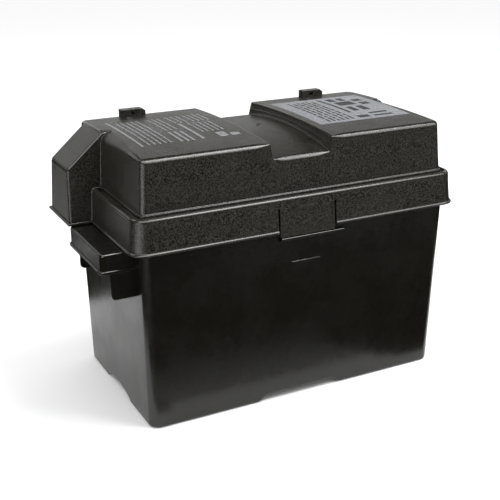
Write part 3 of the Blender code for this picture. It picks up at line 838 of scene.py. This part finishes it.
def left_pad_bars():
    bars = [(-0.1560, -0.1532, -0.0500, 0.0560)]
    bars += broken_rows(even(-0.1475, 5), (-0.0480, 0.0500), (0.009, 0.014, 0.006, 0.018, 0.011))
    bars += [(x, x + 0.0029, -0.0490, -0.0130) for x in even(-0.1135, 3, 0.0062)]
    bars += broken_rows(even(-0.1120, 3), (-0.0050, 0.0500), (0.012, 0.007, 0.016))
    bars += [(-0.0905, -0.0868, -0.0480, 0.0150)]
    bars += broken_rows([-0.0905, -0.0840, -0.0780], (0.0200, 0.0520), (0.010, 0.006, 0.013))
    bars += broken_rows(even(-0.0800, 5), (-0.0250, 0.0150), (0.008, 0.013, 0.005, 0.010))
    bars += [(-0.0700, -0.0600, -0.0480, -0.0330), (-0.0570, -0.0470, -0.0480, -0.0400)]
    return bars + broken_rows(even(-0.0700, 4), (0.0200, 0.0560), (0.007, 0.012, 0.009))


def right_pad_bars():
    bars = broken_rows(even(0.0600, 6, 0.0060), (-0.0450, 0.0480), (0.010, 0.015, 0.006, 0.012), 0.0030)
    bars += [(0.1010, 0.1050, -0.0200, 0.0520), (0.1110, 0.1330, 0.0120, 0.0300)]
    for x0, x1 in ((0.1110, 0.1200), (0.1250, 0.1330)):
        bars.append((x0, x1, 0.0350, 0.0500))
    for x0, x1 in ((0.1110, 0.1190), (0.1240, 0.1330)):
        bars.append((x0, x1, -0.0160, 0.0040))
    bars += [(0.1380, 0.1500, y, y + 0.0110) for y in (0.0080, 0.0260)]
    bars += [(0.1200, 0.1440, y, y + 0.0050) for y in (-0.0440, -0.0330)]
    return bars + [(0.1000, 0.1150, -0.0440, -0.0350)]


def pad_panel():
    """The thin pale plate under the right pad's marks."""
    return pad_marks("right_pad_panel", [(0.0460, 0.1610, -0.0510, 0.0610)], 0.00012, 0.0006)


def gate_mark():
    """The low round mark that moulding leaves on the channel's floor, with a dished middle."""
    centre = Vector((0.0045, 0.0110, floor_height(0.0110)))
    normal = Vector((0, -0.02, 1)).normalized()
    across = normal.orthogonal().normalized()
    other = normal.cross(across)
    radius, width, height = 0.0030, 0.0011, 0.00045
    edge = radius + width
    profile = [(edge, -0.0004), (edge, 0), (radius + width * 0.6, height), (radius, height)]
    profile += [(radius - width * 0.5, height * 0.2), (radius * 0.45, height * 0.1)]
    profile.append((radius * 0.3, height * 0.8))
    round_about = [across * c + other * s for c, s in turned(0, 360, 28)[:-1]]
    sections = [[centre + normal * rise + out * r for out in round_about] for r, rise in profile]
    return smoothed(lofted("gate_mark", sections), 50, False)


def tub_bar():
    """The raised rounded bar on the tub's front."""
    y = -tub_half(0.156)[1]
    block = box("front_bar", (-0.0160, 0.0190), (y - 0.0006, y + 0.0012), (0.1540, 0.1580))
    return smoothed(bevelled(block, 0.0005, 3), 40, False)


# Materials


EDGE_BEND = (120, 205)  # radians a metre across an edge, where its painted highlight and smoothing start and where they are full
EDGE_FACE = 0.006  # size of the largest face that gets the edges' painted highlight and smoothing


def mark_edges(obj):
    """Writes how tightly each face's surroundings bend outwards, from 0 to 1, to the faces."""
    bm = bmesh.new()
    bm.from_mesh(obj.data)
    bm.faces.ensure_lookup_table()
    values = [0.0] * len(bm.faces)
    centres = [face.calc_center_median() for face in bm.faces]
    for edge in bm.edges:
        if len(edge.link_faces) != 2:
            continue
        a, b = edge.link_faces
        gap = max(1e-5, (centres[a.index] - centres[b.index]).length)
        bend = edge.calc_face_angle_signed(0.0) / gap
        for face in (a, b):
            if math.sqrt(face.calc_area()) < EDGE_FACE:
                values[face.index] = max(values[face.index], smooth_step(*EDGE_BEND, bend))
    bm.free()
    attribute = obj.data.attributes.new("edge", "FLOAT", "FACE")
    attribute.data.foreach_set("value", values)


class Recipe:
    """Short calls that build one material's nodes, in the object's own metres."""

    def __init__(self, name):
        self.material = bpy.data.materials.new(name)
        self.material.use_nodes = True
        self.tree = self.material.node_tree
        self.shader = self.tree.nodes["Principled BSDF"]
        self.place = self.add("ShaderNodeTexCoord").outputs["Object"]

    def put(self, socket, value):
        if isinstance(value, bpy.types.NodeSocket):
            self.tree.links.new(value, socket)
        elif isinstance(value, tuple) and len(value) == 3 and len(socket.default_value) == 4:
            socket.default_value = (*value, 1)
        else:
            socket.default_value = value

    def add(self, kind, inputs=None, **settings):
        node = self.tree.nodes.new(kind)
        for key, value in settings.items():
            setattr(node, key, value)
        for key, value in (inputs or {}).items():
            self.put(node.inputs[key], value)
        return node

    def noise(self, size, detail=2.0, roughness=0.5, stretch=(1, 1, 1), turn=(0, 0, 0)):
        """Noise from 0 to 1 with features of about that size, drawn out by stretch."""
        inputs = {"Vector": self.place, "Scale": tuple(1 / value for value in stretch), "Rotation": turn}
        place = self.add("ShaderNodeMapping", inputs).outputs[0]
        inputs = {"Vector": place, "Scale": 1 / size, "Detail": detail, "Roughness": roughness}
        return self.add("ShaderNodeTexNoise", inputs).outputs["Fac"]

    def cells(self, size):
        inputs = {"Vector": self.place, "Scale": 1 / size}
        return self.add("ShaderNodeTexVoronoi", inputs).outputs["Distance"]

    def wave(self, size, axis):
        """Even ridges along an axis."""
        inputs = {"Vector": self.place, "Scale": 0.314 / size}
        return self.add("ShaderNodeTexWave", inputs, bands_direction=axis).outputs["Fac"]

    def span(self, value, low, high, start=0.0, end=1.0):
        """value from low to high, eased into start to end."""
        inputs = {"Value": value, "From Min": low, "From Max": high, "To Min": start, "To Max": end}
        return self.add("ShaderNodeMapRange", inputs, interpolation_type="SMOOTHSTEP").outputs["Result"]

    def calc(self, operation, a, b):
        return self.add("ShaderNodeMath", {0: a, 1: b}, operation=operation).outputs[0]

    def mix(self, share, a, b):
        return self.add("ShaderNodeMix", {0: share, 6: a, 7: b}, data_type="RGBA").outputs[2]

    def attribute(self, name):
        return self.add("ShaderNodeAttribute", attribute_name=name).outputs["Fac"]

    def bump(self, height, depth, below=None):
        """height from 0 to 1 as relief of that depth, on top of another bump."""
        inputs = {"Height": height, "Distance": depth, "Strength": 1.0}
        if below is not None:
            inputs["Normal"] = below
        return self.add("ShaderNodeBump", inputs).outputs["Normal"]

    def finish(self, color, roughness, normal, **sockets):
        self.put(self.shader.inputs["Base Color"], color)
        self.put(self.shader.inputs["Roughness"], roughness)
        self.put(self.shader.inputs["Normal"], normal)
        for name, value in sockets.items():
            self.shader.inputs[name.replace("_", " ")].default_value = value
        return self.material


def tinted(color, factor):
    return tuple(min(1.0, value * factor) for value in color)


def moulded(name, color, roughness, grain, depth, wear_and_sheen=True, mottle=0.35, specular=0.5):
    """Moulded plastic: pebbled grain, cloudy colour and gloss, and if asked, smoother edges that are also
    painted paler as a painted highlight.
    """
    r = Recipe(name)
    fine = r.noise(grain, 2.0, 0.6)
    coarse = r.noise(grain * 2.6, 1.5, 0.5)
    cloud = r.noise(0.045, 3.0, 0.55)
    speck = r.span(coarse, 0.36, 0.66)
    tone = r.mix(speck, tinted(color, 1 - mottle), tinted(color, 1 + mottle))
    tone = r.mix(r.span(cloud, 0.35, 0.70, 0.0, 0.2), tone, tinted(color, 1.55))
    scratch = r.span(r.noise(0.0011, 1.0, 0.5, (1, 38, 1), (0.3, 0.2, 0.55)), 0.70, 0.76)
    scratch = r.calc("MULTIPLY", scratch, r.span(r.noise(0.03), 0.50, 0.62))
    tone = r.mix(r.calc("MULTIPLY", scratch, 0.25), tone, tinted(color, 3.0))
    gloss = r.span(cloud, 0.30, 0.70, roughness - 0.03, roughness + 0.04)
    gloss = r.calc("ADD", gloss, r.span(fine, 0.3, 0.7, -0.04, 0.04))
    relief = r.calc("ADD", r.calc("MULTIPLY", coarse, 0.7), r.calc("MULTIPLY", fine, 0.3))
    if wear_and_sheen:
        # Convex edges: a painted highlight in their paler tone, with smoother gloss and flatter grain.
        edge = r.attribute("edge")
        rub_and_sheen = r.calc("MULTIPLY", edge, r.span(r.noise(0.012, 2.0, 0.5), 0.30, 0.62, 0.75, 1.0))
        tone = r.mix(r.calc("MULTIPLY", rub_and_sheen, 0.6), tone, tinted(color, 1.4))
        gloss = r.calc("SUBTRACT", gloss, r.calc("MULTIPLY", rub_and_sheen, 0.20))
        relief = r.calc("MULTIPLY", relief, r.calc("SUBTRACT", 1.0, r.calc("MULTIPLY", rub_and_sheen, 0.95)))
    waviness = r.bump(r.noise(0.028, 1.0, 0.4), 0.00025)
    normal = r.bump(relief, depth, waviness)
    return r.finish(tone, gloss, normal, Specular_IOR_Level=specular)


def cast_lead(name):
    r = Recipe(name)
    cloud = r.noise(0.007, 4.0, 0.6)
    grain = r.noise(0.0008, 3.0, 0.6)
    tone = r.mix(r.span(cloud, 0.35, 0.65), (0.16, 0.165, 0.18), (0.34, 0.35, 0.37))
    tone = r.mix(r.span(grain, 0.58, 0.72, 0.0, 0.5), tone, (0.50, 0.51, 0.52))
    tone = r.mix(r.span(r.noise(0.004, 3.0), 0.62, 0.75, 0.0, 0.5), tone, (0.62, 0.63, 0.62))
    gloss = r.span(cloud, 0.3, 0.7, 0.62, 0.42)
    normal = r.bump(grain, 0.00010, r.bump(r.noise(0.004, 2.0), 0.00030))
    return r.finish(tone, gloss, normal, Metallic=0.85)


def machined_steel(name):
    r = Recipe(name)
    lines = r.noise(0.0005, 2.0, 0.6, (1, 1, 0.35))
    cloud = r.noise(0.006, 3.0, 0.6)
    tone = r.mix(r.span(cloud, 0.35, 0.70), (0.50, 0.50, 0.52), (0.66, 0.66, 0.68))
    tone = r.mix(r.span(r.noise(0.002, 3.0), 0.64, 0.74, 0.0, 0.55), tone, (0.30, 0.26, 0.22))
    gloss = r.calc("ADD", r.span(lines, 0.3, 0.7, 0.24, 0.40), r.span(cloud, 0.4, 0.7, 0.0, 0.08))
    normal = r.bump(lines, 0.00006, r.bump(r.noise(0.003, 2.0), 0.00008))
    return r.finish(tone, gloss, normal, Metallic=1.0)


def plate_paste(name, dark, light):
    """Paste pressed into a lead grid: square pellets between its wires, pitted and cracked."""
    r = Recipe(name)
    upright, level = (r.span(r.wave(*spacing), 0.90, 0.97) for spacing in ((0.0060, "X"), (0.0045, "Z")))
    grid = r.calc("MAXIMUM", upright, level)
    grain = r.noise(0.0009, 4.0, 0.65)
    blotch = r.noise(0.009, 3.0, 0.6)
    tone = r.mix(r.span(grain, 0.35, 0.65), dark, light)
    tone = r.mix(r.span(blotch, 0.40, 0.70, 0.0, 0.5), tone, tinted(light, 1.25))
    tone = r.mix(r.calc("MULTIPLY", grid, 0.55), tone, (0.26, 0.27, 0.29))
    gloss = r.span(grid, 0.0, 1.0, 0.88, 0.55)
    pits = r.span(r.cells(0.0016), 0.1, 0.5)
    normal = r.bump(grid, 0.00018, r.bump(pits, 0.00012, r.bump(grain, 0.00015)))
    return r.finish(tone, gloss, normal)


def porous_sheet(name, color):
    r = Recipe(name)
    pores = r.cells(0.0007)
    cloud = r.noise(0.012, 3.0, 0.6)
    ribs = r.span(r.wave(0.0080, "X"), 0.80, 0.97)
    tone = r.mix(r.span(cloud, 0.35, 0.70), tinted(color, 0.72), tinted(color, 1.05))
    # Painted shade: the pores are painted darker where their pits sit.
    tone = r.mix(r.span(pores, 0.0, 0.35, 0.4, 0.0), tone, tinted(color, 0.45))
    normal = r.bump(ribs, 0.00025, r.bump(pores, 0.00010))
    return r.finish(tone, r.span(cloud, 0.3, 0.7, 0.72, 0.86), normal, Sheen_Weight=0.15)


LID_BLACK = (0.0150, 0.0140, 0.0108)
TUB_BLACK = (0.0046, 0.0041, 0.0025)
MATERIALS = {
    "lid_plastic": moulded("lid_plastic_look", LID_BLACK, 0.32, 0.00055, 0.00042, mottle=0.95, specular=0.31),
    "tub_plastic": moulded("tub_plastic_look", TUB_BLACK, 0.26, 0.00042, 0.00005, mottle=0.3),
    "case_plastic": moulded("case_plastic_look", (0.042, 0.043, 0.047), 0.38, 0.0005, 0.00008, False),
    "cover_plastic": moulded("cover_plastic_look", (0.085, 0.087, 0.093), 0.40, 0.0005, 0.00008, False, 0.2),
    "cap_plastic": moulded("cap_plastic_look", (0.36, 0.030, 0.026), 0.30, 0.0006, 0.00005, False, 0.12),
    "lead": cast_lead("lead_look"),
    "positive_paste": plate_paste("positive_paste_look", (0.070, 0.026, 0.016), (0.17, 0.075, 0.048)),
    "negative_paste": plate_paste("negative_paste_look", (0.13, 0.135, 0.14), (0.26, 0.27, 0.28)),
    "separator_sheet": porous_sheet("separator_look", (0.76, 0.76, 0.70)),
    "steel": machined_steel("steel_look"),
}
PANEL_GREY = moulded("panel_grey_look", (0.165, 0.170, 0.180), 0.50, 0.0008, 0.00010, False, 0.25, 0.30)
PANEL_MARK = moulded("panel_mark_look", (0.024, 0.025, 0.026), 0.50, 0.0006, 0.00006, False, 0.2, 0.15)
MARK_GREY = moulded("mark_grey_look", (0.140, 0.140, 0.147), 0.36, 0.0006, 0.00005, False, 0.3)


def finished(obj, material, edges=False):
    obj.data.materials.clear()
    obj.data.materials.append(material)
    if edges:
        mark_edges(obj)
    return obj


# Camera, light and floor


CAMERA_PLACE = (-0.4746, -0.8922, 0.5161)
CAMERA_TURN = (90 - 20.68, 0.09, -27.43)  # degrees: up from straight down, roll, and to the left
CAMERA_LENS = 68.54
FLOOR_WHITE = (0.93, 0.93, 0.93)
CARD_BLACK = (0.012, 0.012, 0.012)


def place_camera():
    camera = bpy.data.objects.new("camera", bpy.data.cameras.new("camera"))
    bpy.context.scene.collection.objects.link(camera)
    camera.data.lens = CAMERA_LENS
    camera.data.sensor_width = 36
    camera.data.clip_end = 50
    camera.location = CAMERA_PLACE
    camera.rotation_euler = [math.radians(angle) for angle in CAMERA_TURN]
    bpy.context.scene.camera = camera


def area_light(name, place, target, size, power):
    light = bpy.data.lights.new(name, "AREA")
    light.shape = "RECTANGLE"
    light.size, light.size_y = size
    light.energy = power
    obj = bpy.data.objects.new(name, light)
    obj.location = place
    direction = Vector(target) - Vector(place)
    obj.rotation_euler = direction.to_track_quat("-Z", "Y").to_euler()
    obj.visible_camera = False
    bpy.context.scene.collection.objects.link(obj)
    return obj


def stage_mesh(name, corners, faces, color):
    plane = solid(name, corners, faces)
    material = bpy.data.materials.new(name)
    material.use_nodes = True
    shader = material.node_tree.nodes["Principled BSDF"]
    shader.inputs["Base Color"].default_value = (*color, 1)
    shader.inputs["Roughness"].default_value = 0.9
    shader.inputs["Specular IOR Level"].default_value = 0.0
    plane.data.materials.append(material)
    return plane


FLOOR_REACH = 8
WHITE_AREAS = (  # of the floor, as the object's gloss sees it
    (-0.36, -0.116, 0.50, 0.245),
    (-0.28, -0.124, 0.14, -0.116),
    (-0.14, -0.138, 0.12, -0.124),
    (-0.28, -0.134, -0.14, -0.130),
    (-0.28, -0.154, 0.10, -0.148),
    (-0.28, -0.171, 0.08, -0.166),
    (-0.28, -0.190, 0.06, -0.186),
    (-0.60, 0.40, -0.36, 0.475),
    (-0.95, 0.62, -0.36, 0.90),
    (0.15, -1.02, 1.10, -0.69),
)
ROOM = (-3, -3, 3, 4)
ROOM_WALLS = (1.65, 2.0, 0.9, 0.5)  # heights of its front, left, right and back
ROOM_CEILING = (-0.70, 2.25)  # where it starts, and its height


def make_floor():
    r = FLOOR_REACH
    stage_mesh("floor", [(-r, -r, 0), (r, -r, 0), (r, r, 0), (-r, r, 0)], [(0, 1, 2, 3)], FLOOR_WHITE)


def make_dark_cards():
    """Black cards on the floor, round the room and above, which only reflections see."""
    lift = 0.0005
    corners, faces = [], []

    def card(*points):
        faces.append(tuple(range(len(corners), len(corners) + 4)))
        corners.extend(points)

    xs, ys = (
        sorted({-FLOOR_REACH, FLOOR_REACH, *(area[i] for area in WHITE_AREAS for i in (axis, axis + 2))})
        for axis in (0, 1)
    )
    for ax, bx in zip(xs, xs[1:]):
        for ay, by in zip(ys, ys[1:]):
            x, y = (ax + bx) / 2, (ay + by) / 2
            if not any(x0 < x < x1 and y0 < y < y1 for x0, y0, x1, y1 in WHITE_AREAS):
                card((ax, ay, lift), (bx, ay, lift), (bx, by, lift), (ax, by, lift))
    x0, y0, x1, y1 = ROOM
    sides = (((x0, y0), (x1, y0)), ((x0, y0), (x0, y1)), ((x1, y0), (x1, y1)), ((x0, y1), (x1, y1)))
    for ((ax, ay), (bx, by)), height in zip(sides, ROOM_WALLS):
        card((ax, ay, lift), (bx, by, lift), (bx, by, height), (ax, ay, height))
    start, z = ROOM_CEILING
    card((x0, start, z), (x1, start, z), (x1, y1, z), (x0, y1, z))
    cards = stage_mesh("dark_cards", corners, faces, CARD_BLACK)
    cards.visible_camera = cards.visible_diffuse = cards.visible_shadow = False
    cards.visible_transmission = cards.visible_volume_scatter = False


def make_lights():
    world = bpy.data.worlds.new("studio")
    world.use_nodes = True
    world.node_tree.nodes["Background"].inputs["Color"].default_value = (1, 1, 1, 1)
    world.node_tree.nodes["Background"].inputs["Strength"].default_value = 1.0
    bpy.context.scene.world = world
    area_light("overhead", (0.62, -0.50, 1.60), (0.05, -0.02, 0.15), (0.9, 0.6), 24)
    area_light("back_left", (-0.85, 0.60, 1.25), (-0.45, 0.25, 0), (0.7, 0.5), 5)
    above = area_light("gloss_above", (-0.15, -0.95, 1.60), (-0.15, 0, 0.2), (3.8, 1.3), 110)
    left = area_light("gloss_left", (-0.90, -0.52, 0.13), (-0.19, -0.09, 0.22), (0.70, 0.20), 4.6)
    above.visible_diffuse = left.visible_diffuse = False
    bpy.context.scene.view_settings.view_transform = "Standard"


# The object


place_camera()
make_floor()
make_dark_cards()
make_lights()

lid = finished(make_lid(), MATERIALS["lid_plastic"], True)
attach(lid, "lid")
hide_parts("battery_box_lid")
tub = finished(make_tub(), MATERIALS["tub_plastic"], True)
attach(tub, "base")
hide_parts("battery_box_tub")
for node, side in (("front_snap_tab", -1), ("back_snap_tab", 1)):
    tab = finished(make_tab(side), MATERIALS["lid_plastic"], True)
    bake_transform(tab)
    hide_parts(node)

marks = [
    (finished(pad_marks("left_pad_marks", left_pad_bars(), 0.00030), MARK_GREY), "lid", "lid_plastic"),
    (finished(pad_panel(), PANEL_GREY), "lid", "lid_plastic"),
    (finished(pad_marks("right_pad_marks", right_pad_bars(), 0.00022), PANEL_MARK), "lid", "lid_plastic"),
    (finished(tub_bar(), MATERIALS["tub_plastic"], True), "base", "tub_plastic"),
    (finished(gate_mark(), MATERIALS["lid_plastic"], True), "lid", "lid_plastic"),
]
for piece, body, slot_name in marks:
    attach(piece, body)

replaced = {"battery_box_lid", "battery_box_tub", "front_snap_tab", "back_snap_tab"}
for row in frame["record"]["subparts"]:
    if row["node"] not in replaced:
        node = frame["nodes"][row["node"]]
        for slot in node.material_slots:
            slot.material = MATERIALS[row["material_slot"]]
